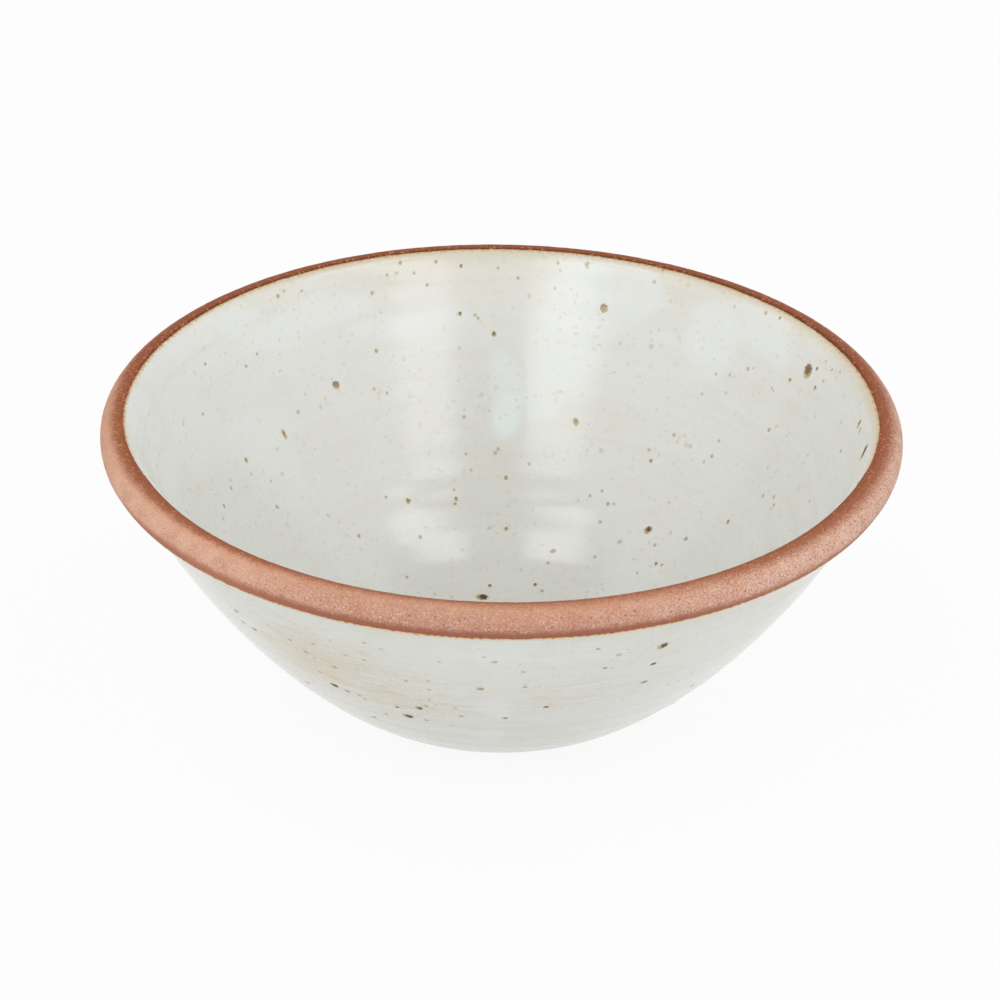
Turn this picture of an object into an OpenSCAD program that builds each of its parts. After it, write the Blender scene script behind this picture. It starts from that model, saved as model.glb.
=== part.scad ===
// Prep bowl: a thrown stoneware bowl with a rolled rim of bare clay, a low turned foot ring,
// and one coat of glaze inside and one outside. The axis is +Z and the foot stands on Z = 0.

/* [Bowl] */
// Outer diameter over the rolled rim
rim_d = 200; // [160:5:260]
// Overall height, from the foot to the crest of the rim
bowl_h = 79; // [60:1:110]

/* [Rim] */
// Thickness of the rolled rim
rim_roll = 8.8; // [7:0.1:12]
// Angle between the crest of the rim and the inner glaze line
glaze_line_angle = 16; // [8:1:30]

/* [Wall] */
// Thickness of the clay wall under the rim
wall_t = 4.8; // [4:0.1:6]
// Thickness of the clay where the wall turns into the floor
heel_t = 7.5; // [6:0.1:9]
// Slope of the wall under the rim, from level
rim_slope = 64.5; // [58:0.5:72]
// Slope of the wall where it meets the foot, from level
heel_slope = 14; // [6:1:16]

/* [Foot] */
// Outer diameter of the foot ring
foot_d = 61; // [50:1:90]
// Height of the foot ring below the wall
foot_h = 2; // [1.8:0.1:6]
// Width of the foot ring
foot_w = 7; // [5:0.5:12]
// Depth of the recess turned inside the foot ring
recess_h = 2; // [1.8:0.1:3]
// Radius of the coves at the sides of the foot ring
cove_r = 1; // [0.5:0.1:1.3]
// Rounding of the edges that the bowl stands on
edge_r = 0.6; // [0.3:0.1:0.9]

/* [Glaze] */
// Thickness of both glaze coats
glaze_t = 0.4; // [0.2:0.05:0.8]
// Distance over which a coat thins towards its edge
glaze_fade = 2.5; // [1:0.1:4]
// Angle below level at which the outer glaze line runs along the rolled rim
outer_line_angle = 44; // [36:1:52]
// Radius of the glaze that fills the crease under the rolled rim
crease_r = 1.2; // [0.8:0.1:2]
// Bare clay left on the wall above the foot ring
foot_bare_w = 2.4; // [1:0.1:5]

/* [Hidden] */
$fn = 128;

// Steps along each stretch of the section
roll_steps = 18;
under_steps = 8;
crease_steps = 5;
lip_steps = 8;
wall_steps = 34;
heel_steps = 3;
floor_steps = 8;
edge_steps = 4;

// Lengths of the wall curve's two handles, as shares of the straight line between its ends
rim_handle_share = 0.39;
heel_handle_share = 0.2;
// Thickness of a glaze coat at its very edge, as a share of the full coat
glaze_edge_share = 0.4;

// Curve helpers
function unit(v) = v / norm(v);
function heading(angle) = [cos(angle), sin(angle)];
function along(from, to, steps) = [for (i = [0 : steps]) from + (to - from) * i / steps];
// Steps that crowd together at both ends, where the coats thin out
function eased(from, to, steps) = [for (a = along(0, 180, steps)) from + (to - from) * (1 - cos(a)) / 2];
function arc(centre, r, from, to, steps) = [for (a = along(from, to, steps)) centre + r * heading(a)];
function reversed(list) = [for (i = [len(list) - 1 : -1 : 0]) list[i]];
function tail(list) = [for (i = [1 : len(list) - 1]) list[i]];

// The rolled rim is a round bead. Its curl ends where a wall of the asked thickness runs
// straight into the bead's inner side, so the inside has no step below the rim.
roll_r = rim_roll / 2;
roll_centre = [rim_d / 2 - roll_r, bowl_h - roll_r];
roll_tuck = acos(wall_t / roll_r - 1) - rim_slope;
lip_angle = 90 + glaze_line_angle;
inside_angle = 90 + rim_slope;
under_angle = -90 - roll_tuck;

// The outside of the wall is one cubic curve, from under the roll to the cove of the foot
foot_r = foot_d / 2;
wall_top = roll_centre + roll_r * heading(under_angle);
wall_foot = [foot_r + cove_r, foot_h];
wall_chord = norm(wall_top - wall_foot);
rim_handle = wall_chord * rim_handle_share;
heel_handle = wall_chord * heel_handle_share;
wall_curve = [
    wall_top,
    wall_top - rim_handle * heading(rim_slope),
    wall_foot + heel_handle * heading(heel_slope),
    wall_foot
];

function wall_point(t) =
    let (c = wall_curve, s = 1 - t)
    s * s * s * c[0] + 3 * s * s * t * c[1] + 3 * s * t * t * c[2] + t * t * t * c[3];
function wall_heading(t) =
    let (c = wall_curve, s = 1 - t)
    unit(s * s * (c[1] - c[0]) + 2 * s * t * (c[2] - c[1]) + t * t * (c[3] - c[2]));
// The side of the wall that faces the inside of the bowl
function wall_inward(t) = let (d = wall_heading(t)) [d.y, -d.x];
// The wall keeps its thickness under the rim and swells towards the heel
function wall_thickness(t) = let (low = t * t) wall_t + (heel_t - wall_t) * low * low * (3 - 2 * low);

// Outside of the wall: the glazed stretch, then the bare stretch down to the foot.
// Near an end of the curve, its point moves three handle lengths for each unit of t.
glaze_end = 1 - foot_bare_w / (3 * heel_handle);
outside_line = [for (t = eased(0, glaze_end, wall_steps)) wall_point(t)];
heel_line = [for (t = along(glaze_end, 1, heel_steps)) wall_point(t)];

// Inside of the bowl, from the glaze line on the rim to the centre of the floor
lip_line = arc(roll_centre, roll_r, lip_angle, inside_angle, lip_steps);
inner_wall_line = [for (t = eased(0, 1, wall_steps)) wall_point(t) + wall_thickness(t) * wall_inward(t)];
floor_edge = inner_wall_line[wall_steps];
floor_dip = floor_edge.x * tan(heel_slope) / 2;
floor_line = [
    for (share = along(1, 0, floor_steps))
    [floor_edge.x * share, floor_edge.y - floor_dip * (1 - share * share)]
];
inside_line = concat(lip_line, inner_wall_line, tail(floor_line));

// Foot ring: a cove under the wall, two rounded edges to stand on, and a coved recess inside
ring_in_r = foot_r - foot_w;
foot_line = concat(
    tail(arc([foot_r + cove_r, foot_h - cove_r], cove_r, 90, 180, edge_steps)),
    arc([foot_r - edge_r, edge_r], edge_r, 0, -90, edge_steps),
    arc([ring_in_r + edge_r, edge_r], edge_r, -90, -180, edge_steps),
    arc([ring_in_r - cove_r, recess_h - cove_r], cove_r, 0, 90, edge_steps),
    [[0, recess_h]]
);

// Section of the clay, all the way round from the inner glaze line on the rim
bare_roll_line = arc(roll_centre, roll_r, lip_angle, -outer_line_angle, roll_steps);
glazed_roll_line = arc(roll_centre, roll_r, -outer_line_angle, under_angle, under_steps);
clay_section = concat(
    bare_roll_line,
    tail(glazed_roll_line),
    tail(outside_line),
    tail(heel_line),
    foot_line,
    reversed(tail(inside_line))
);

// Length of a line up to its point i, and its two neighbours, mirrored at the axis
function run(line, i) = i == 0 ? 0 : run(line, i - 1) + norm(line[i] - line[i - 1]);
function before(line, i) = line[max(i - 1, 0)];
function after(line, i) =
    i < len(line) - 1 ? line[i + 1] : line[i].x > 0 ? line[i] : [-line[i - 1].x, line[i - 1].y];
function line_side(line, i) = let (d = unit(after(line, i) - before(line, i))) [d.y, -d.x];

// A coat of glaze thins out towards its free edges
function coat(edge_gap) =
    glaze_t * (glaze_edge_share + (1 - glaze_edge_share) * sin(90 * min(1, edge_gap / glaze_fade)));

// The inner coat has one free edge, at the glaze line on the rim
inner_coat_line = [
    for (i = [0 : len(inside_line) - 1])
    inside_line[i] + coat(run(inside_line, i)) * line_side(inside_line, i)
];

// The outer coat starts on the underside of the roll and fills the crease below it. The fill is
// round: its circle touches the coat on the roll and the coat on the wall.
wall_down = -heading(rim_slope);
wall_out = [sin(rim_slope), -cos(rim_slope)];
roll_offset = roll_centre - wall_top;
crease_gap = glaze_t + crease_r;
crease_reach = crease_gap - roll_offset * wall_out;
crease_drop = roll_offset * wall_down + sqrt(pow(roll_r + crease_gap, 2) - pow(crease_reach, 2));
crease_centre = wall_top + crease_drop * wall_down + crease_gap * wall_out;
crease_way = roll_centre - crease_centre;
crease_angle = atan2(crease_way.y, crease_way.x);
crease_line = arc(crease_centre, crease_r, crease_angle, inside_angle, crease_steps);
roll_coat_line = [
    for (a = along(-outer_line_angle, crease_angle - 180, under_steps))
    roll_centre + (roll_r + coat(roll_r * PI * (-outer_line_angle - a) / 180)) * heading(a)
];
wall_shares = eased(crease_drop / (3 * rim_handle), glaze_end, wall_steps);
wall_under_coat = [for (t = wall_shares) wall_point(t)];
wall_coat_line = [
    for (i = [0 : wall_steps])
    let (edge_gap = run(wall_under_coat, wall_steps) - run(wall_under_coat, i))
    wall_under_coat[i] - coat(edge_gap) * wall_inward(wall_shares[i])
];
outer_coat_line = concat(roll_coat_line, tail(crease_line), tail(wall_coat_line));

// Thrown clay: rolled rim, wall, floor and turned foot ring, all one body
module clay_body() {
    color([0.74, 0.5, 0.4])
        rotate_extrude()
            polygon(clay_section);
}

// Glaze poured inside, up to the glaze line just short of the rim's crest
module inner_glaze() {
    color([0.85, 0.86, 0.83])
        rotate_extrude()
            polygon(concat(inside_line, reversed(inner_coat_line)));
}

// Glaze on the outside, from the underside of the rolled rim to just above the foot ring
module outer_glaze() {
    color([0.82, 0.82, 0.8])
        rotate_extrude()
            polygon(concat(glazed_roll_line, tail(outside_line), reversed(outer_coat_line)));
}

clay_body();
inner_glaze();
outer_glaze();
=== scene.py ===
# %% [markdown]
# # A thrown prep bowl, bare at the rim and glazed inside and out
# The CAD model gives the bowl its true sizes: one body of clay and two coats of glaze. This
# lesson makes those three pieces again as finer skins and adds what the potter's hands and the
# kiln left on them: throwing ridges, a glaze line that wavers, runs where the glaze lies thick,
# tan where it is thin, and iron spots that came up through it.

# %% Load the CAD model
import math

import bpy
import numpy as np
from mathutils import Matrix, Quaternion, Vector
from mathutils.bvhtree import BVHTree


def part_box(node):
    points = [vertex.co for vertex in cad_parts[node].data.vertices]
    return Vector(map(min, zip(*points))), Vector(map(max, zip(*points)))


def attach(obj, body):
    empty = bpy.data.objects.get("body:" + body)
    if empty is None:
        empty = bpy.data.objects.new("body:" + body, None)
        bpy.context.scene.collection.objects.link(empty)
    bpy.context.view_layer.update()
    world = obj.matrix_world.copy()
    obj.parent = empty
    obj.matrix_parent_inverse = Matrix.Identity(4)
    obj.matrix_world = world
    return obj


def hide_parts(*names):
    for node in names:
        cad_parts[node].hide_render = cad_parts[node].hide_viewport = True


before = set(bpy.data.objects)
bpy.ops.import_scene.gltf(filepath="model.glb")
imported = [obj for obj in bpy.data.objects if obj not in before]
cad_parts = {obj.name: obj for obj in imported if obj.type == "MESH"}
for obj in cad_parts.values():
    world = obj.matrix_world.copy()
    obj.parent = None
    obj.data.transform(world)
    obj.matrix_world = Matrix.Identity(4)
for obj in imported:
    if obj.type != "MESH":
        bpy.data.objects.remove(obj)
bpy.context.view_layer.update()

mm = 0.001

# %% [markdown]
# ## Node maths that reads like Python
# Shaders and geometry node trees are both long chains of small sums. A wire here is one output
# of a node, and adding or multiplying wires makes the Math node for it, so a formula in the
# script looks like a formula. The sheet is the node tree itself; its `node` method makes any
# other node, with the settings first because they decide which sockets there are.

# %% Wires and sheets
def both_ways(operation):
    """One of Python's operators for wires: with a wire on its left, and with a wire on its right."""
    def on_left(wire, other):
        return wire.sum(operation, wire, other)

    def on_right(wire, other):
        return wire.sum(operation, other, wire)

    return on_left, on_right


class Wire:
    """One output of a node, which can be added, multiplied and compared."""

    def __init__(self, sheet, socket):
        self.sheet, self.socket = sheet, socket

    def sum(self, operation, *terms):
        """A Math node, or a Vector Math node where a term is a vector or a colour."""
        kind = "ShaderNodeMath"
        if any(isinstance(t, Wire) and t.socket.type in ("VECTOR", "RGBA") for t in terms):
            kind = "ShaderNodeVectorMath"
            terms = [t if isinstance(t, (Wire, tuple)) else (t, t, t) for t in terms]
        return self.sheet.node(kind, {"operation": operation}, dict(enumerate(terms)))[0]

    __add__, __radd__ = both_ways("ADD")
    __sub__, __rsub__ = both_ways("SUBTRACT")
    __mul__, __rmul__ = both_ways("MULTIPLY")
    __truediv__, __rtruediv__ = both_ways("DIVIDE")
    __pow__, __rpow__ = both_ways("POWER")

    def __neg__(self):
        return self * -1.0

    def sin(self):
        return self.sum("SINE", self)

    def cos(self):
        return self.sum("COSINE", self)

    def most(self, other):
        return self.sum("MAXIMUM", self, other)

    def rise(self, low, high):
        """0 below low, 1 above high, and a smooth step between; low may be the larger one."""
        return self.sheet.node("ShaderNodeMapRange", {"interpolation_type": "SMOOTHSTEP"},
                               {"Value": self, "From Min": low, "From Max": high})[0]


class Made:
    """A node that was made; its outputs come as wires, by name or by number."""

    def __init__(self, sheet, node):
        self.sheet, self.node = sheet, node

    def __getitem__(self, key):
        shown = [s for s in self.node.outputs if s.enabled]
        if isinstance(key, int):
            return Wire(self.sheet, shown[key])
        return Wire(self.sheet, next(s for s in shown if s.name == key))


class Sheet:
    """A node tree that is being drawn."""

    def __init__(self, tree):
        self.tree = tree

    def node(self, kind, settings=None, sockets=None):
        node = self.tree.nodes.new(kind)
        for name, value in (settings or {}).items():
            setattr(node, name, value)
        for key, value in (sockets or {}).items():
            if isinstance(key, int):
                socket = node.inputs[key]
            else:
                socket = next(s for s in node.inputs if s.enabled and s.name == key)
            if isinstance(value, Wire):
                self.tree.links.new(value.socket, socket)
            else:
                socket.default_value = value
        return Made(self, node)

    def vector(self, x, y, z):
        return self.node("ShaderNodeCombineXYZ", None, {0: x, 1: y, 2: z})[0]

    def parts(self, vector):
        split = self.node("ShaderNodeSeparateXYZ", None, {0: vector})
        return split[0], split[1], split[2]

    def noise(self, place, scale=1.0, detail=2.0, roughness=0.5):
        """Soft random values from about 0 to 1, with 0.5 in the middle."""
        return self.node("ShaderNodeTexNoise", None,
                         {"Vector": place, "Scale": scale, "Detail": detail, "Roughness": roughness})[0]

    def mix(self, share, first, second):
        """One colour over another."""
        return self.node("ShaderNodeMix", {"data_type": "RGBA"},
                         {"Factor": share, "A": first, "B": second})["Result"]


# %% Meshes and objects
def mesh_of(name, points, faces=()):
    mesh = bpy.data.meshes.new(name)
    mesh.from_pydata(points, [], faces)
    return mesh


def placed(name, data):
    """A new object in the scene."""
    thing = bpy.data.objects.new(name, data)
    bpy.context.collection.objects.link(thing)
    return thing


def keep(mesh, name, numbers):
    """Stores a number or a direction for each point of a mesh, for node trees to read by name."""
    numbers = np.asarray(numbers, np.float32)
    kind, field = ("FLOAT_VECTOR", "vector") if numbers.ndim == 2 else ("FLOAT", "value")
    mesh.attributes.new(name, kind, "POINT").data.foreach_set(field, numbers.ravel())


# %% [markdown]
# ## The section of the bowl
# A thrown bowl is one outline swept round an axis, so the whole form comes from a few lines in
# the plane of radius and height. They follow the same rule as the CAD model: a round roll at the
# rim, a wall that is one cubic curve, an inside that lies a wall's thickness away from it, a
# dished floor, and a turned foot ring. Glaze fills the crease under the roll, so the outer coat
# follows a small round fillet there. The overall sizes are read from the CAD piece.

# %% Sizes of the bowl
_, clay_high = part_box("clay_body")
rim_r, bowl_h = clay_high.x, clay_high.z
roll_r = 4.4 * mm
wall_t, heel_t = 4.8 * mm, 7.5 * mm
rim_slope, heel_slope = 64.5, 14
rim_handle_share, heel_handle_share = 0.39, 0.2
foot_r, foot_w, foot_h, recess_h = 30.5 * mm, 7 * mm, 2 * mm, 2 * mm
cove_r, edge_r = 1 * mm, 0.6 * mm
glaze_t, glaze_fade, glaze_edge_share = 0.4 * mm, 2.5 * mm, 0.4
glaze_line_angle, outer_line_angle, crease_r, foot_bare_w = 16, 44, 1.2 * mm, 2.4 * mm
# Points along each stretch of the section, close enough together to be read off anywhere
roll_steps, under_steps, crease_steps, lip_steps = 240, 80, 40, 60
wall_steps, heel_steps, floor_steps, cove_steps, edge_steps = 600, 24, 160, 16, 12


def heading(angle):
    """Unit direction in the section, for an angle in degrees."""
    turn = np.radians(angle)
    return np.stack([np.cos(turn), np.sin(turn)], -1)


def arc(centre, radius, start, stop, count):
    return np.array(centre) + radius * heading(np.linspace(start, stop, count))


# %% The wall's curve
roll_centre = np.array([rim_r - roll_r, bowl_h - roll_r])
roll_tuck = math.degrees(math.acos(wall_t / roll_r - 1)) - rim_slope
lip_angle, inside_angle, under_angle = 90 + glaze_line_angle, 90 + rim_slope, -90 - roll_tuck
wall_top = roll_centre + roll_r * heading(under_angle)
wall_foot = np.array([foot_r + cove_r, foot_h])
chord = np.linalg.norm(wall_top - wall_foot)
rim_handle, heel_handle = rim_handle_share * chord, heel_handle_share * chord
curve = [wall_top, wall_top - rim_handle * heading(rim_slope),
         wall_foot + heel_handle * heading(heel_slope), wall_foot]


def wall_point(t):
    t = np.asarray(t)[:, None]
    s = 1 - t
    return s ** 3 * curve[0] + 3 * s * s * t * curve[1] + 3 * s * t * t * curve[2] + t ** 3 * curve[3]


def wall_inside(t):
    """The inside of the wall: the outside moved in by the thickness, which swells at the heel."""
    s, d = 1 - t[:, None], t[:, None]
    way = s * s * (curve[1] - curve[0]) + 2 * s * d * (curve[2] - curve[1]) + d * d * (curve[3] - curve[2])
    way /= np.linalg.norm(way, axis=1)[:, None]
    low = t * t
    thick = wall_t + (heel_t - wall_t) * low * low * (3 - 2 * low)
    return wall_point(t) + thick[:, None] * np.stack([way[:, 1], -way[:, 0]], 1)


# %% Lines of the section
glaze_end = 1 - foot_bare_w / (3 * heel_handle)
bare_roll = arc(roll_centre, roll_r, lip_angle, -outer_line_angle, roll_steps)
glazed_roll = arc(roll_centre, roll_r, -outer_line_angle, under_angle, under_steps)
outer_wall = wall_point(np.linspace(0, glaze_end, wall_steps))
heel_line = wall_point(np.linspace(glaze_end, 1, heel_steps))

# The outer coat starts on the roll's underside and rounds out the crease between roll and wall
wall_down, wall_out = heading(rim_slope - 180), heading(rim_slope - 90)
roll_offset = roll_centre - wall_top
crease_gap = glaze_t + crease_r
crease_reach = crease_gap - roll_offset @ wall_out
crease_drop = roll_offset @ wall_down + math.sqrt((roll_r + crease_gap) ** 2 - crease_reach ** 2)
crease_centre = wall_top + crease_drop * wall_down + crease_gap * wall_out
crease_angle = math.degrees(math.atan2(*(roll_centre - crease_centre)[::-1]))
outside_line = np.concatenate([
    arc(roll_centre, roll_r, -outer_line_angle, crease_angle - 180, under_steps),
    arc(crease_centre, crease_gap, crease_angle, inside_angle, crease_steps)[1:],
    wall_point(np.linspace(crease_drop / (3 * rim_handle), glaze_end, wall_steps))[1:]])

inner_wall = wall_inside(np.linspace(0, 1, wall_steps))
floor_r, floor_z = inner_wall[-1]
floor_share = np.linspace(1, 0, floor_steps)
floor_dip = floor_r * math.tan(math.radians(heel_slope)) / 2
floor_line = np.stack([floor_r * floor_share, floor_z - floor_dip * (1 - floor_share ** 2)], 1)
inside_line = np.concatenate([
    arc(roll_centre, roll_r, lip_angle, inside_angle, lip_steps), inner_wall[1:], floor_line[1:]])
ring_in_r = foot_r - foot_w
foot_line = np.concatenate([
    arc((foot_r + cove_r, foot_h - cove_r), cove_r, 90, 180, cove_steps)[1:],
    arc((foot_r - edge_r, edge_r), edge_r, 0, -90, edge_steps),
    arc((ring_in_r + edge_r, edge_r), edge_r, -90, -180, edge_steps),
    arc((ring_in_r - cove_r, recess_h - cove_r), cove_r, 0, 90, cove_steps),
    [[0, recess_h]]])


def run_of(line):
    """Distance along a line up to each of its points."""
    return np.concatenate([[0], np.cumsum(np.linalg.norm(np.diff(line, axis=0), axis=1))])


def length_of(line):
    return run_of(line)[-1]


roll_length, outside_length, inside_length = map(length_of, (bare_roll, outside_line, inside_line))
print("along the section in mm: bare roll %.1f, outside %.1f, inside %.1f"
      % (roll_length / mm, outside_length / mm, inside_length / mm))

# %% [markdown]
# ## One section, ready to be swept
# Each skin needs more than points: at every point it needs the direction out of the surface, the
# direction along it, and how far it is from the edge of the glaze. These are kept as attributes
# on a small mesh of loose points. The sweep then reads them, and so do the shaders. Glaze softens
# the turns that it runs over, so the inner coat follows the lip in an eased line.

# %% Sections as meshes
def between(stations, run, pairs):
    """Pairs of numbers that are known at some distances along a line, read off at others."""
    return np.stack([np.interp(stations, run, pairs[:, k]) for k in (0, 1)], 1)


def pick(line, stations):
    """Points of a line at given distances along it, with the directions along it and to its left."""
    run = run_of(line)
    way = between(stations, run, np.gradient(line, run, axis=0))
    way /= np.linalg.norm(way, axis=1)[:, None]
    return between(stations, run, line), way, np.stack([-way[:, 1], way[:, 0]], 1)


def upright(pairs):
    """Radius and height as places in the plane that the sweep starts from."""
    return np.stack([pairs[:, 0], np.zeros(len(pairs)), pairs[:, 1]], 1)


def section_mesh(name, points, along, side, **values):
    mesh = mesh_of(name, upright(points).tolist())
    keep(mesh, "along", upright(along))
    keep(mesh, "side", upright(side))
    for key, numbers in values.items():
        keep(mesh, key, numbers)
    return placed(name, mesh)


def smooth(value, low, high):
    share = np.clip((value - low) / (high - low), 0, 1)
    return share * share * (3 - 2 * share)


def coat_section(name, line, facing, stations, two_edges):
    """A coat of glaze: its face above the clay, then its back just under the clay's surface."""
    nose, tuck, back_steps = 0.25 * mm, 0.03 * mm, 14
    ridge_start, ridge_full = 2 * mm, 9 * mm
    wave_reach, drop_reach = 1.2 * mm, 5 * mm
    length = length_of(line)

    def edge_gap(run):
        return np.minimum(run, length - run) if two_edges else run

    gap = edge_gap(stations)
    points, along, left = pick(line, stations)
    thinning = np.sin(np.pi / 2 * np.minimum(1, gap / glaze_fade))
    thick = glaze_t * (glaze_edge_share + (1 - glaze_edge_share) * thinning)
    thick = thick * np.sqrt(1 - (1 - np.minimum(1, gap / nose)) ** 2)
    face = points + facing * left * (thick - tuck * (1 - smooth(gap, 0, nose)))[:, None]
    back_run = np.linspace(length, 0, back_steps)
    back, back_along, back_left = pick(line, back_run)
    under = back - facing * back_left * tuck
    on_face = np.concatenate([np.ones(len(stations)), np.zeros(back_steps)])
    gap = np.concatenate([gap, edge_gap(back_run)])
    return section_mesh(
        name, np.concatenate([face, under]), np.concatenate([along, back_along]),
        facing * np.concatenate([left, back_left]), run=np.concatenate([stations, back_run]), gap=gap,
        ridge=on_face * smooth(gap, ridge_start, ridge_full), wave=np.exp(-gap / wave_reach),
        drop=np.exp(-gap / drop_reach), grain=np.zeros(len(gap)))


def softened(line, reach, stop):
    """A line with its turns eased over a distance, up to `stop` along it; its start stays in place."""
    step = 0.1 * mm
    even = np.arange(0, length_of(line), step)
    points = between(even, run_of(line), line)
    span = int(3 * reach / step)
    bell = np.exp(-0.5 * (np.arange(-span, span + 1) * step / reach) ** 2)
    padded = np.pad(points, ((span, span), (0, 0)), mode="reflect", reflect_type="odd")
    eased = np.stack([np.convolve(padded[:, k], bell / bell.sum(), "valid") for k in (0, 1)], 1)
    share = (1 - smooth(even, 0.7 * stop, stop))[:, None]
    return np.concatenate([points + share * (eased - points), line[-1:]])


def spaced(*stretches):
    """Distances in stretches of (start, stop, count), each going on where the last one ended."""
    parts = [np.linspace(start, stop, count, endpoint=False) for start, stop, count in stretches]
    return np.concatenate([*parts, [stretches[-1][1]]])


# %% The two coats' sections
lip_ease, lip_ease_end, lip_end = 1.4 * mm, 14 * mm, 9 * mm
soft_inside = softened(inside_line, lip_ease, lip_ease_end)
inner_stations = spaced((0, lip_end, 30), (lip_end, length_of(soft_inside), 84))
inner_section = coat_section("inner_section", soft_inside, -1, inner_stations, two_edges=False)
crease_end, foot_start = 8 * mm, outside_length - 3 * mm
outer_stations = spaced((0, crease_end, 26), (crease_end, foot_start, 66), (foot_start, outside_length, 9))
outer_section = coat_section("outer_section", outside_line, 1, outer_stations, two_edges=True)

# %% The clay's section
clay_line = np.concatenate([
    inside_line[::-1], bare_roll[1:], glazed_roll[1:], outer_wall[1:], heel_line[1:], foot_line])
covered_to = roll_length + length_of(glazed_roll) + length_of(outer_wall)
clay_end = length_of(clay_line) - inside_length
ring_end = clay_end - (ring_in_r - cove_r)
lip_start, roll_end, heel_start = -4 * mm, roll_length + 2.4 * mm, covered_to - 2.4 * mm
clay_run = spaced((-inside_length, lip_start, 15), (lip_start, roll_end, 58), (roll_end, heel_start, 25),
                  (heel_start, ring_end, 44), (ring_end, clay_end, 16))
clay_points, clay_along, clay_left = pick(clay_line, clay_run + inside_length)
# Where a coat covers it, the clay's skin lies a little deeper, out of the coat's way
hidden_depth = 0.1 * mm
under_inner = 1 - smooth(clay_run, -3.6 * mm, -2.6 * mm)
under_outer = (smooth(clay_run, roll_length + 1.5 * mm, roll_length + 2.2 * mm)
               * (1 - smooth(clay_run, covered_to - 2.2 * mm, covered_to - 1.5 * mm)))
hidden = np.maximum(under_inner, under_outer)
clay_points = clay_points - clay_left * (hidden_depth * hidden)[:, None]
nothing = np.zeros(len(clay_run))
clay_section = section_mesh(
    "clay_section", clay_points, clay_along, clay_left, run=clay_run, gap=nothing, wave=nothing,
    drop=nothing, ridge=smooth(clay_run, covered_to, covered_to + 2 * mm), grain=1 - hidden)
for section in (clay_section, inner_section, outer_section):
    print(section.name, "has", len(section.data.vertices), "points")

# %% [markdown]
# ## Sweeping a skin round the axis
# A Geometry Nodes tree does the potter's work. It lays out a flat grid, one column for each step
# round the wheel and one row for each point of the section, and moves every grid point to its
# place on the bowl. On the way it adds ridges that climb in a spiral, as fingers leave them, a
# waver along the edge of the glaze, and a rim that is slightly out of true. Merging the points
# that meet closes the seam and the two poles.

# %% What geometry node trees share
class GeometrySheet(Sheet):
    """A geometry node tree with named inputs, which ends in one dressed geometry."""

    def __init__(self, name, inputs, output):
        super().__init__(bpy.data.node_groups.new(name, "GeometryNodeTree"))
        for key, kind in inputs.items():
            self.tree.interface.new_socket(key, in_out="INPUT", socket_type="NodeSocket" + kind)
        self.tree.interface.new_socket(output, in_out="OUTPUT", socket_type="NodeSocketGeometry")
        self.given, self.output = self.node("NodeGroupInput"), output

    def position(self):
        return self.node("GeometryNodeInputPosition")[0]

    def attribute(self, name, kind="FLOAT"):
        named = self.node("GeometryNodeInputNamedAttribute", {"data_type": kind}, {"Name": name})
        return named["Attribute"]

    def stored(self, geometry, name, value):
        return self.node("GeometryNodeStoreNamedAttribute", {"data_type": "FLOAT", "domain": "POINT"},
                         {"Geometry": geometry, "Name": name, "Value": value})["Geometry"]

    def moved(self, geometry, place):
        return self.node("GeometryNodeSetPosition", None, {"Geometry": geometry, "Position": place})[0]

    def real(self, geometry):
        return self.node("GeometryNodeRealizeInstances", None, {"Geometry": geometry})[0]

    def dress(self, geometry):
        """Ends the tree: smooth shading, instances made real, and the finish that was given."""
        smoothed = self.node("GeometryNodeSetShadeSmooth", None, {
            "Geometry": geometry, "Shade Smooth": True})[0]
        dressed = self.node("GeometryNodeSetMaterial", None, {
            "Geometry": self.real(smoothed), "Material": self.given["Finish"]})[0]
        self.node("NodeGroupOutput", None, {self.output: dressed})
        return self.tree


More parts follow.
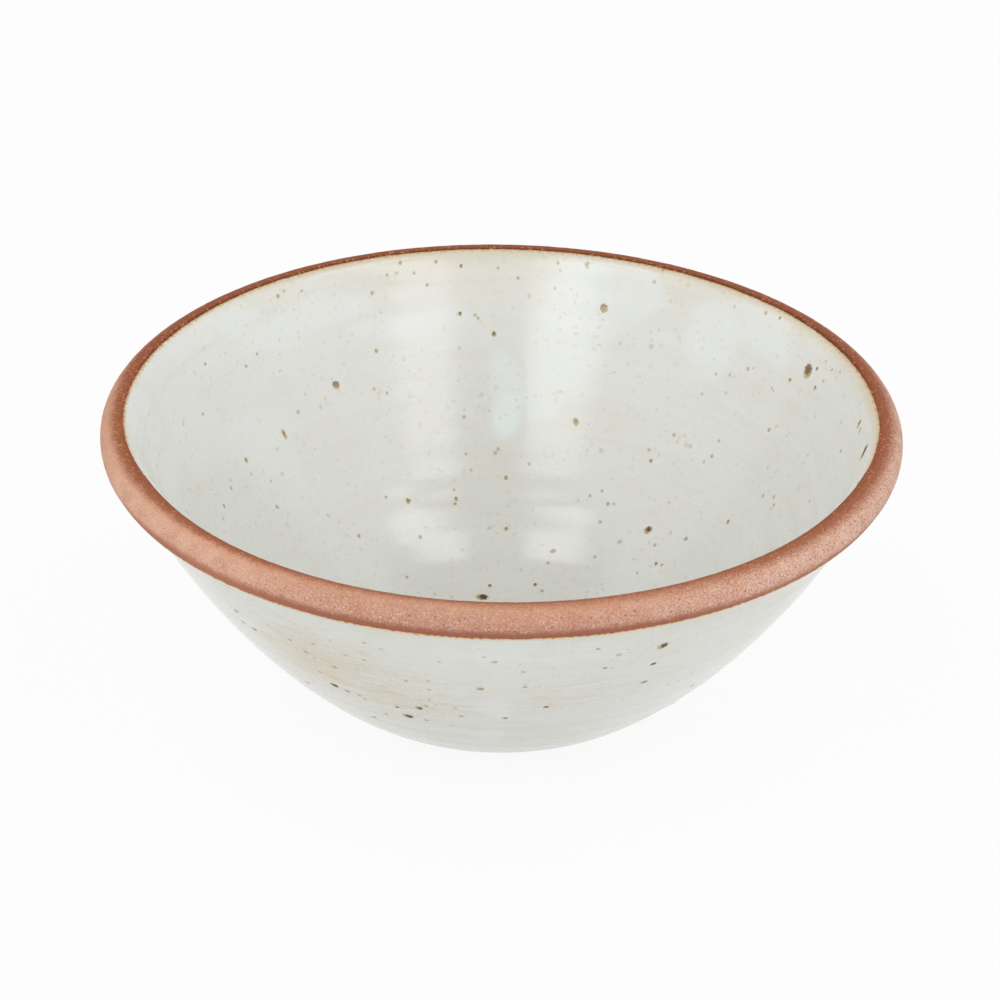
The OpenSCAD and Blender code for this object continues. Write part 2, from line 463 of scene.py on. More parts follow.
# %% The sweep as a node tree
def skin_tree():
    sheet = GeometrySheet("thrown_skin", {
        "Section": "Geometry", "Steps Around": "Int", "Section Points": "Int", "Ridge Height": "Float",
        "Ridge Spacing": "Float", "Edge Wave": "Float", "Edge Drop": "Float", "Grain Height": "Float",
        "Rim Warp": "Float", "Bowl Height": "Float", "Seed": "Float", "Finish": "Material"}, "Skin")
    given = sheet.given
    grid = sheet.node("GeometryNodeMeshGrid", None, {
        "Size X": 1.0, "Size Y": 1.0,
        "Vertices X": given["Steps Around"] + 1.0, "Vertices Y": given["Section Points"]})["Mesh"]
    across, down, _ = sheet.parts(sheet.position())
    turn = (across + 0.5) * math.tau
    index = (down + 0.5) * (given["Section Points"] - 1.0) + 0.25

    def sampled(value, kind):
        return sheet.node("GeometryNodeSampleIndex", {"data_type": kind},
                          {"Geometry": given["Section"], "Value": value, "Index": index})["Value"]

    def read(name, kind="FLOAT"):
        return sampled(sheet.attribute(name, kind), kind)

    place = sampled(sheet.position(), "FLOAT_VECTOR")
    run, gap = read("run"), read("gap")
    wheel = sheet.vector(turn.cos(), turn.sin(), given["Seed"])
    wave = sheet.noise(wheel, 14.0, 3.0, 0.7) * 1.3 + sheet.noise(wheel, 4.0, 1.0) * 0.7 - 1.0
    ring_place = sheet.vector(turn.cos() * 0.7, turn.sin() * 0.7, run / (given["Ridge Spacing"] * 0.4))
    rings = sheet.noise(ring_place, 1.0, 2.0)
    spiral = (run / given["Ridge Spacing"] * math.tau - turn).sin()
    ridge = (spiral * 0.5 + (rings - 0.5) * 2.2) * given["Ridge Height"] * read("ridge")
    bump_place = sheet.vector(turn.cos() * 95.0, turn.sin() * 95.0, run / mm)
    bumps = sheet.noise(bump_place, 0.45, 3.0, 0.6) - 0.5
    # The glaze line sinks on the near side, and a very little on the right
    lean = (-turn.sin()).rise(0.0, 0.8) + turn.cos().most(0.0) * 0.08
    slide = wave * given["Edge Wave"] * read("wave") + lean * given["Edge Drop"] * read("drop")
    # An edge that slides round the roll also has to sink, or it would leave the clay
    sink = slide * slide / (2 * roll_r)
    lift = ridge + bumps * 2.0 * given["Grain Height"] * read("grain") - sink
    lifted = place + read("side", "FLOAT_VECTOR") * lift + read("along", "FLOAT_VECTOR") * slide
    radius, _, height = sheet.parts(lifted)
    tall = (height / given["Bowl Height"]) ** 2.0
    warp = (sheet.noise(wheel, 0.8, 1.0) - 0.5) * given["Rim Warp"] * tall
    sway = (sheet.noise(wheel + 5.0, 0.7, 1.0) - 0.5) * given["Rim Warp"] * tall
    radius = radius + sway
    skin = sheet.stored(sheet.stored(grid, "run", run), "gap", gap)
    swept = sheet.moved(skin, sheet.vector(radius * turn.cos(), radius * turn.sin(), height + warp))
    weld = 0.0005 * mm
    return sheet.dress(
        sheet.node("GeometryNodeMergeByDistance", None, {"Geometry": swept, "Distance": weld})[0])


def grown(piece, tree, name, **values):
    """Runs a node tree on a piece and returns its result as a plain mesh object; the piece goes."""
    modifier = piece.modifiers.new(tree.name, "NODES")
    modifier.node_group = tree
    for socket in tree.interface.items_tree:
        key = socket.name.lower().replace(" ", "_")
        if key in values:
            modifier[socket.identifier] = values[key]
    view_layer = bpy.context.evaluated_depsgraph_get()
    mesh = bpy.data.meshes.new_from_object(piece.evaluated_get(view_layer))
    mesh.name = name
    bpy.data.objects.remove(piece)
    return placed(name, mesh)


# %% [markdown]
# ## Four finishes, empty for now
# The sweep needs a material to put on, so the clay, the two glazes and the iron are made here by
# name and are filled in further down, once the bowl is there to judge them by.

# %% Empty finishes
bare_clay, inner_finish, outer_finish, spot_finish = (
    bpy.data.materials.new(name) for name in ("bare_clay", "inner_glaze", "outer_glaze", "iron_spots"))

# %% Sweep the clay and the two coats
thrown_skin = skin_tree()
ridge_spacing, rim_warp, wheel_seed = 8.4 * mm, 0.5 * mm, 3.0


def swept_skin(section, name, steps, finish, ridge, wave=0.0, drop=0.0, grain=0.0):
    """A section swept round the axis; the heights of ridge and grain, the wave and the drop are in mm."""
    return grown(section, thrown_skin, name, steps_around=steps, section_points=len(section.data.vertices),
                 ridge_height=ridge * mm, edge_wave=wave * mm, edge_drop=drop * mm, grain_height=grain * mm,
                 ridge_spacing=ridge_spacing, rim_warp=rim_warp, bowl_height=bowl_h, seed=wheel_seed,
                 finish=finish)


clay = swept_skin(clay_section, "clay", 600, bare_clay, ridge=0.05, grain=0.1)
inner = swept_skin(inner_section, "glaze_inside", 720, inner_finish, ridge=0.1, wave=0.3, drop=2.6)
outer = swept_skin(outer_section, "glaze_outside", 720, outer_finish, ridge=0.07, wave=0.4)


def corners(mesh):
    places = np.empty(len(mesh.vertices) * 3, np.float32)
    mesh.vertices.foreach_get("co", places)
    return places.reshape(-1, 3).astype(float)


def face_out(piece):
    """Turns the faces outwards if the piece encloses a negative volume."""
    mesh = piece.data
    mesh.calc_loop_triangles()
    ends = np.empty(len(mesh.loop_triangles) * 3, np.int32)
    mesh.loop_triangles.foreach_get("vertices", ends)
    a, b, c = np.moveaxis(corners(mesh)[ends.reshape(-1, 3)], 1, 0)
    volume = (a * np.cross(b, c)).sum() / 6
    if volume < 0:
        mesh.flip_normals()
    turned = ", faces turned" if volume < 0 else ""
    print("%s: %d triangles, %.1f cm3%s" % (piece.name, len(ends) // 3, abs(volume) * 1e6, turned))


for piece in (clay, inner, outer):
    face_out(piece)

# %% [markdown]
# ## The camera
# The camera stands where the photograph was taken from: 1.6 m from the middle of the rim, a
# little under 28 degrees above level, and tipped by less than a degree. A long lens keeps the
# ellipse of the rim nearly even. Having it now lets a pixel of the picture be followed back
# along its line of sight to a place on the glaze.

# %% Camera
picture, lens_px, sensor_mm = 1000, 6417.6, 36
camera_gap, camera_rise, camera_tip = 1.6, math.radians(27.75), math.radians(0.837)
rim_middle_px = (501.8, 415.9)
rim_middle = Vector((0, 0, bowl_h))
camera = placed("camera", bpy.data.cameras.new("camera"))
camera.data.sensor_width = sensor_mm
camera.data.lens = lens_px / picture * sensor_mm
camera.location = rim_middle + camera_gap * Vector((0, -math.cos(camera_rise), math.sin(camera_rise)))


def from_lens(x, y):
    """A pixel of the picture as a place in front of the lens."""
    return Vector((x - picture / 2, picture / 2 - y, -lens_px))


camera.rotation_mode = "QUATERNION"
camera.rotation_quaternion = ((rim_middle - camera.location).to_track_quat("-Z", "Y")
                              @ Quaternion((0, 0, 1), camera_tip)
                              @ from_lens(*rim_middle_px).rotation_difference(Vector((0, 0, -1))))
bpy.context.scene.camera = camera


def line_of_sight(x, y):
    """Direction from the camera through a pixel of the picture."""
    return camera.rotation_quaternion @ from_lens(x, y).normalized()


# %% [markdown]
# ## Thick and thin glaze
# Where glaze ran and pooled it is thicker, and looks a cool bluish white. Where it drew away it
# is thin, and the clay warms it to tan. Each pool is noted by where its middle shows in the
# picture and how far it reaches in pixels, and lands on the bowl along the line of sight. The
# sum is kept on the skin as the attribute `pool`, and thick glaze is raised a little too.

# %% Pools seen in the picture: x, y, half width, half height, strength (tan is below zero)
inner_pools = [
    (506, 390, 17, 44, 1.05), (505, 415, 13, 27, 1.2), (580, 300, 37, 52, 1.0), (562, 352, 38, 42, 0.8),
    (545, 392, 20, 24, 0.8), (592, 268, 27, 20, 0.7), (640, 295, 25, 26, 0.9), (712, 333, 26, 36, 1.0),
    (770, 333, 32, 24, 0.8), (778, 358, 15, 18, 0.65), (742, 314, 30, 15, 0.7), (815, 348, 24, 18, 0.35),
    (300, 325, 85, 15, 0.75), (235, 326, 28, 19, 0.7), (400, 325, 75, 14, 0.55), (462, 336, 40, 12, 0.4),
    (320, 300, 60, 12, 0.4), (165, 365, 34, 50, 0.65), (140, 420, 22, 50, 0.85), (192, 432, 30, 40, 0.7),
    (165, 470, 28, 30, 0.7), (252, 440, 38, 34, 0.65), (226, 456, 15, 22, 0.6), (283, 452, 14, 27, 0.6),
    (212, 330, 30, 24, 0.45), (511, 275, 10, 24, 0.5), (405, 285, 42, 22, -0.3),
    (465, 268, 32, 11, -0.4), (226, 368, 27, 26, -0.6), (680, 282, 26, 12, -0.5), (790, 402, 50, 20, -0.35),
    (650, 340, 26, 30, -0.4), (680, 520, 30, 20, -0.4), (430, 380, 50, 30, -0.3), (330, 430, 40, 40, -0.3),
    (866, 405, 12, 34, -0.6), (858, 460, 10, 26, -0.5)]
outer_pools = [
    (497, 712, 11, 40, 0.6), (500, 655, 42, 15, 0.5), (430, 652, 60, 13, 0.4), (590, 655, 60, 11, 0.4),
    (700, 640, 60, 26, 0.4), (270, 612, 34, 18, -0.3), (236, 592, 40, 20, -0.5), (670, 690, 60, 40, 0.45),
    (325, 668, 80, 36, -0.9), (390, 695, 80, 30, -0.75), (290, 640, 60, 26, -0.75),
    (570, 700, 76, 22, -0.55), (615, 690, 42, 13, -0.5), (650, 655, 26, 14, -0.4),
    (440, 690, 36, 14, -0.5)]


# %% Lines of sight that land on the glaze
def tree_of(piece):
    faces = [tuple(face.vertices) for face in piece.data.polygons]
    return BVHTree.FromPolygons([tuple(place) for place in corners(piece.data)], faces)


def skins_now():
    """What a line of sight can meet: the skins as they are now."""
    return {piece: tree_of(piece) for piece in (clay, inner, outer)}


seen_on = skins_now()


def values_of(mesh, name):
    numbers = np.empty(len(mesh.vertices), np.float32)
    mesh.attributes[name].data.foreach_get("value", numbers)
    return numbers.astype(float)


def landing(piece, x, y):
    """Where the sight through a pixel meets a skin: the place, its outward direction and its face."""
    place, out, face, _ = seen_on[piece].ray_cast(camera.location, line_of_sight(x, y))
    if place is None:
        raise ValueError("%s doesn't show at pixel %d, %d" % (piece.name, x, y))
    return place, out, face


# %% Pools laid onto the coats
def slow_drift(dice, turn, run):
    """A slow random drift that bends the outlines of the pools."""
    count = 14
    turns, climbs = dice.integers(4, 24, count), dice.uniform(-0.4, 0.4, count)
    starts, sizes = dice.uniform(0, 6.3, count), dice.uniform(0.2, 0.7, count)
    return sum(size * np.sin(n * turn + climb * run / mm + start)
               for n, climb, start, size in zip(turns, climbs, starts, sizes))


def pooled(piece, pools, seed, spread, count):
    """Adds up the pools that the picture shows and some more out of sight, and raises thick glaze."""
    thick_lift, bend, largest_stretch, flattest_view = 0.08 * mm, 1 * mm, 3.0, 0.2
    mesh = piece.data
    place, run, gap = corners(mesh), values_of(mesh, "run"), values_of(mesh, "gap")
    turn = np.arctan2(place[:, 1], place[:, 0])
    radius = np.hypot(place[:, 0], place[:, 1])
    dice = np.random.default_rng(seed)
    drift = slow_drift(dice, turn, run)
    thick, thin = np.zeros(len(place)), np.zeros(len(place))

    def add(turn_0, run_0, half_w, half_h, strength):
        across = (turn - turn_0 + np.pi) % math.tau - np.pi
        away = np.hypot(across * radius / half_w, (run - run_0) / half_h)
        away = away + drift * bend / min(half_w, half_h)
        # Thick glaze ends in a soft edge, and thin glaze fades away
        bell = smooth(-away, -1.6, -0.6) if strength > 0 else smooth(-away, -2.0, 0.2)
        pile = thick if strength > 0 else thin
        np.maximum(pile, bell * abs(strength), out=pile)

    px = camera_gap / lens_px
    for x, y, half_w, half_h, strength in pools:
        spot, out, face = landing(piece, x, y)
        # On a slanting surface a pixel covers more glaze, up and down and sideways
        back = (camera.location - spot).normalized()
        ring = Vector((-spot.y, spot.x, 0)).normalized()
        fall = ring.cross(out).normalized()
        views = [(way - back * way.dot(back)).length for way in (ring, fall)]
        wide, high = [min(largest_stretch, 1 / max(flattest_view, view)) for view in views]
        run_0 = run[list(mesh.polygons[face].vertices)].mean()
        add(math.atan2(spot.y, spot.x), run_0, half_w * px * wide, half_h * px * high, strength)
    for _ in range(count):
        turn_0 = dice.uniform(*spread)
        run_0 = dice.uniform(0.1, 0.8) * run.max()
        strength = dice.choice([-0.7, 0.6, 0.9])
        add(turn_0, run_0, dice.uniform(5, 14) * mm, dice.uniform(5, 16) * mm, strength)
    pool = thick - thin * (1 - thick)
    keep(mesh, "pool", pool)
    normal = np.empty(len(place) * 3, np.float32)
    mesh.vertices.foreach_get("normal", normal)
    on_face = smooth(gap, 0.5 * mm, 2.5 * mm) * (run > 0)
    raised = place + normal.reshape(-1, 3) * (thick_lift * np.clip(pool, -0.3, 1) * on_face)[:, None]
    mesh.vertices.foreach_set("co", raised.astype(np.float32).ravel())
    mesh.update()
    thick_part, thin_part = 100 * (pool > 0.4).mean(), 100 * (pool < -0.3).mean()
    print("%s: %.0f%% thick, %.0f%% thin" % (piece.name, thick_part, thin_part))


pooled(inner, inner_pools, seed=11, spread=(-2.6, -0.5), count=16)
pooled(outer, outer_pools, seed=12, spread=(0.1, 3.0), count=18)
seen_on = skins_now()

# %% [markdown]
# ## Iron spots
# Grains of iron in the clay melt up through the glaze. Each leaves a dark heart and, round it, a
# golden stain that ran down a little; a few burst open and show a grey middle, and many are no
# more than a faint stain. All but the finest are real little blisters, so each is a small domed
# disc laid on the glaze. The discs are noted from the picture; a second node tree puts one disc
# on every noted place, turns it to face out, and presses it onto the skin.

# %% Odd spots seen in the picture: x, y, width and length in mm, turn in degrees, darkness
inner_spots = [
    (808, 371, 3.1, 3.8, 10, 1.0), (336, 385, 2.0, 2.2, 0, 0.85), (604, 308, 2.1, 2.3, 0, 0.7),
    (648, 530, 2.0, 2.3, 40, 0.8), (482, 597, 2.1, 3.1, 90, 0.9), (284, 434, 1.2, 2.9, -32, 0.6),
    (576, 422, 1.6, 2.2, -20, 0.5), (494, 334, 1.2, 1.6, 0, 0.7), (408, 501, 1.5, 1.5, 0, 0.65),
    (246, 460, 1.3, 1.7, 0, 0.6), (859, 424, 1.4, 2.6, 25, 0.65), (864, 452, 2.4, 4.2, 25, 1.0),
    (860, 430, 1.2, 1.8, 25, 0.4), (587, 266, 0.9, 1.8, -30, 0.3), (553, 551, 1.4, 1.8, 60, 0.4)]
# Spots that burst open in the kiln and show a grey middle
burst_spots = {(808, 371), (336, 385), (604, 308)}
outer_spots = [
    (408, 716, 2.6, 2.7, 75, 0.95), (334, 685, 2.2, 2.5, 62, 0.85), (663, 646, 2.3, 2.9, 60, 0.8),
    (419, 708, 1.8, 1.9, 80, 0.8), (653, 664, 1.2, 1.7, 60, 0.8), (644, 682, 1.1, 2.2, 80, 0.75),
    (480, 689, 1.8, 2.1, 90, 0.45), (494, 662, 1.2, 1.9, 90, 0.35), (619, 655, 1.5, 1.6, 0, 0.25),
    (546, 707, 1.2, 1.7, 90, 0.8), (306, 652, 1.3, 1.8, 60, 0.4), (236, 611, 0.8, 1.8, 60, 0.8),
    (243, 622, 1.0, 1.8, 60, 0.7), (254, 629, 1.0, 1.9, 60, 0.75), (692, 686, 0.7, 1.5, 60, 0.85),
    (307, 682, 1.1, 1.7, 60, 0.65)]

# %% Small spots by kind: width and length in mm, turn in degrees and darkness, then where each shows
inner_dots = {
    (1.0, 1.2, 0, 0.7): [
        (490, 586), (460, 314), (461, 266), (535, 585), (817, 369), (656, 564)],
    (1.1, 1.3, 0, 0.6): [
        (506, 529), (506, 478), (456, 499), (728, 522), (790, 380), (815, 388), (651, 461)],
    (0.9, 1.0, 0, 0.55): [
        (205, 364), (436, 262), (455, 504), (780, 318)],
    (1.1, 1.3, 0, 0.45): [
        (376, 351), (277, 507), (224, 506), (359, 536), (400, 263), (278, 296), (769, 430), (608, 504),
        (686, 539), (841, 451)],
    (0.9, 1.0, 0, 0.4): [
        (548, 563), (475, 315), (478, 318), (386, 497), (498, 449), (414, 273), (518, 278), (832, 370),
        (257, 354), (407, 577), (662, 565), (774, 505), (663, 270)],
    (1.1, 1.2, 0, 0.35): [
        (246, 366), (420, 537), (298, 412), (203, 414), (231, 488), (674, 435), (712, 456), (600, 522),
        (763, 496), (774, 497), (655, 545), (542, 591), (464, 417), (766, 313), (495, 453), (427, 285),
        (748, 369), (372, 293)],
    (0.9, 1.0, 0, 0.3): [
        (387, 275), (558, 263), (772, 388), (730, 375), (716, 374), (704, 462), (719, 441), (387, 393),
        (302, 291), (614, 504), (590, 496), (284, 291), (374, 389), (454, 490), (649, 450), (637, 573),
        (466, 454), (602, 491), (489, 528), (840, 372), (471, 470), (498, 268), (529, 464), (595, 557),
        (588, 263)],
    (0.9, 1.0, 0, 0.2): [
        (555, 288), (251, 474), (183, 424), (271, 481), (702, 394), (726, 393)]}
outer_dots = {
    (1.0, 1.4, 80, 0.8): [
        (397, 707), (505, 718), (374, 717)],
    (1.1, 1.4, 75, 0.55): [
        (461, 716), (605, 668), (347, 691), (335, 667), (386, 714), (426, 720)],
    (1.0, 1.3, 75, 0.4): [
        (598, 649), (525, 687), (406, 681), (426, 706), (290, 640), (320, 672), (365, 699), (359, 695),
        (417, 635)],
    (0.9, 1.2, 75, 0.25): [
        (484, 657), (381, 649), (364, 660), (346, 655), (314, 658), (364, 643), (429, 690), (429, 700),
        (428, 681), (439, 662)]}


def with_dots(spots, dots):
    """The spots that are noted one by one, followed by the small ones that are noted by kind."""
    return spots + [(x, y, *kind) for kind, places in dots.items() for x, y in places]


# %% Discs for the spots
def disc_mesh(sides, rings):
    """A flat disc of radius 1 in rings, the shape that every spot is made from."""
    points, faces = [(0, 0, 0)], []
    for ring in range(1, rings + 1):
        for side in range(sides):
            turn = math.tau * side / sides
            points.append((ring / rings * math.cos(turn), ring / rings * math.sin(turn), 0))
    for side in range(sides):
        after = (side + 1) % sides
        faces.append((0, 1 + side, 1 + after))
        for ring in range(rings - 1):
            first = 1 + ring * sides
            faces.append((first + side, first + sides + side, first + sides + after, first + after))
    return mesh_of("disc", points, faces)


def spots_tree():
    heart_place, edge_lift = (0, 0.22, 0), 0.012 * mm
    sheet = GeometrySheet("iron_spots", {
        "Places": "Geometry", "Disc": "Object", "Skin": "Object",
        "Lift": "Float", "Finish": "Material"}, "Spots")
    given = sheet.given
    disc = sheet.node("GeometryNodeObjectInfo", None, {"Object": given["Disc"]})["Geometry"]
    for name, middle in (("reach", (0, 0, 0)), ("heart", heart_place)):
        away = sheet.node("ShaderNodeVectorMath", {"operation": "DISTANCE"},
                          {0: sheet.position(), 1: middle})
        disc = sheet.stored(disc, name, away["Value"])
    out = sheet.attribute("out", "FLOAT_VECTOR")
    long_way = sheet.attribute("long_way", "FLOAT_VECTOR")
    facing = sheet.node("FunctionNodeAlignRotationToVector", {"axis": "Z"}, {"Vector": out})[0]
    facing = sheet.node("FunctionNodeAlignRotationToVector", {"axis": "Y", "pivot_axis": "Z"},
                        {"Rotation": facing, "Vector": long_way})[0]
    size = sheet.vector(sheet.attribute("half_width"), sheet.attribute("half_length"), 1.0)
    copies = sheet.node("GeometryNodeInstanceOnPoints", None, {
        "Points": given["Places"], "Instance": disc, "Rotation": facing, "Scale": size})[0]
    skin = sheet.node("GeometryNodeObjectInfo", None, {"Object": given["Skin"]})["Geometry"]
    nearest = sheet.node("GeometryNodeProximity", {"target_element": "FACES"}, {0: skin})["Position"]
    dome = given["Lift"] * (1.0 - sheet.attribute("reach") ** 2.0) + edge_lift
    return sheet.dress(sheet.moved(sheet.real(copies), nearest + out * dome))


# %% Places for the spots, seen and unseen
def unseen_places(piece, count, dice):
    """Random places on a skin's face that the camera doesn't see."""
    edge_free, clear = 2.5 * mm, 0.5 * mm
    mesh, found = piece.data, []
    gap = values_of(mesh, "gap")
    for number in dice.integers(0, len(mesh.vertices), 40 * count):
        vertex = mesh.vertices[int(number)]
        from_axis = Vector((vertex.co.x, vertex.co.y, 0)).length
        facing_air = vertex.normal.z > 0 if piece is inner else vertex.normal.z < 0
        # The rows of the grid crowd together near the axis, so places there are taken less often
        if gap[number] < edge_free or not facing_air or dice.uniform() > from_axis / rim_r:
            continue
        start = vertex.co + vertex.normal * clear
        way = (camera.location - start).normalized()
        if vertex.normal.dot(way) < 0 or any(skin.ray_cast(start, way)[0] for skin in seen_on.values()):
            found.append((vertex.co.copy(), vertex.normal.copy()))
        if len(found) == count:
            break
    return found


def spot_places(name, piece, spots, seed, unseen):
    """Loose points, one for each spot, that say how it lies, how large it is and how dark."""
    # A disc fades out before its edge, so it is larger than half of the spot that shows
    half_share = 0.68
    dice = np.random.default_rng(seed)
    rows = []

    def add(place, out, way, width, length, dark, burst):
        long_way = (way - out * way.dot(out)).normalized()
        rows.append((tuple(place), tuple(out), tuple(long_way), width, length, dark, burst))

    for x, y, width, length, turn, dark in spots:
        place, out, _ = landing(piece, x, y)
        lean = math.radians(turn)
        up = camera.rotation_quaternion @ Vector((math.sin(lean), math.cos(lean), 0))
        add(place, out, up, width, length, dark, (x, y) in burst_spots)
    for place, out in unseen_places(piece, unseen, dice):
        size = 0.7 + 1.5 * dice.uniform() ** 3
        way = Vector(dice.normal(size=3))
        length = size * dice.uniform(1, 1.6)
        dark = min(1.0, 0.35 + 0.3 * size * dice.uniform(0.6, 1.0))
        add(place, out, way, size, length, dark, size > 1.9)
    places, outs, long_ways, widths, lengths, darks, bursts = zip(*rows)
    mesh = mesh_of(name, places)
    keep(mesh, "out", outs)
    keep(mesh, "long_way", long_ways)
    keep(mesh, "half_width", np.array(widths) * mm * half_share)
    keep(mesh, "half_length", np.array(lengths) * mm * half_share)
    keep(mesh, "dark", darks)
    keep(mesh, "burst", bursts)
    keep(mesh, "chance", dice.uniform(0, 100, len(rows)))
    print(name, len(rows), "spots")
    return placed(name, mesh)


# %% Lay the spots
disc = placed("disc", disc_mesh(sides=12, rings=3))
iron_tree = spots_tree()
spot_lift = 0.05 * mm
inner_places = spot_places("inner_places", inner, with_dots(inner_spots, inner_dots), seed=21, unseen=60)
outer_places = spot_places("outer_places", outer, with_dots(outer_spots, outer_dots), seed=22, unseen=130)
inner_iron = grown(inner_places, iron_tree, "iron_spots_inside",
                   disc=disc, skin=inner, lift=spot_lift, finish=spot_finish)
outer_iron = grown(outer_places, iron_tree, "iron_spots_outside",
                   disc=disc, skin=outer, lift=spot_lift, finish=spot_finish)
bpy.data.objects.remove(disc)
print("spot faces:", len(inner_iron.data.polygons), len(outer_iron.data.polygons))

# %% [markdown]
# ## The glaze as a shader
# A pale, semi-gloss stoneware glaze is never one colour. Slow clouds and faint rings change its
# tone, the pools turn it bluish and the thin places tan, and near its edge it goes to cream and
# then to an ochre fringe. Hundreds of iron specks too small for discs are cells of a Voronoi
# pattern. Most cells are left out, and noise bends the rest, so that no speck is quite round.

# %% What shaders share
def paint(red, green, blue):
    """A colour by its values on a paint chart, 0 to 255, as the linear numbers that shaders use."""
    shares = [c / 255 for c in (red, green, blue)]
    return (*(c / 12.92 if c <= 0.04 else ((c + 0.055) / 1.055) ** 2.4 for c in shares), 1.0)


def shader_sheet(material):
    material.use_nodes = True
    material.node_tree.nodes.clear()
    return Sheet(material.node_tree)


def kept(sheet, name):
    """An attribute of the skin, as the shader reads it."""
    return sheet.node("ShaderNodeAttribute", {"attribute_type": "GEOMETRY", "attribute_name": name})["Fac"]


def place_in_mm(sheet):
    return sheet.node("ShaderNodeTexCoord")["Object"] / mm


def bumped(sheet, height, strength):
    """The surface's direction, tilted by a height in mm."""
    return sheet.node("ShaderNodeBump", None, {
        "Strength": strength, "Distance": 1 * mm, "Height": height})[0]


def show(sheet, sockets):
    """Ends a shader with a Principled surface."""
    surface = sheet.node("ShaderNodeBsdfPrincipled", None, sockets)[0]
    sheet.node("ShaderNodeOutputMaterial", None, {"Surface": surface})


def specks(sheet, place, cell, share, largest):
    """Small round specks: how strongly each one shows, for cells of one size in mm."""
    cells = sheet.node("ShaderNodeTexVoronoi", {"feature": "F1"}, {"Vector": place, "Scale": 1 / cell})
    chance, size, _ = sheet.parts(cells["Color"])
    radius = largest / cell * (0.3 + 0.7 * size * size)
    return (1.0 - (cells["Distance"] / radius).rise(0.1, 1.0)) * chance.rise(1 - share, 1 - share * 0.7)


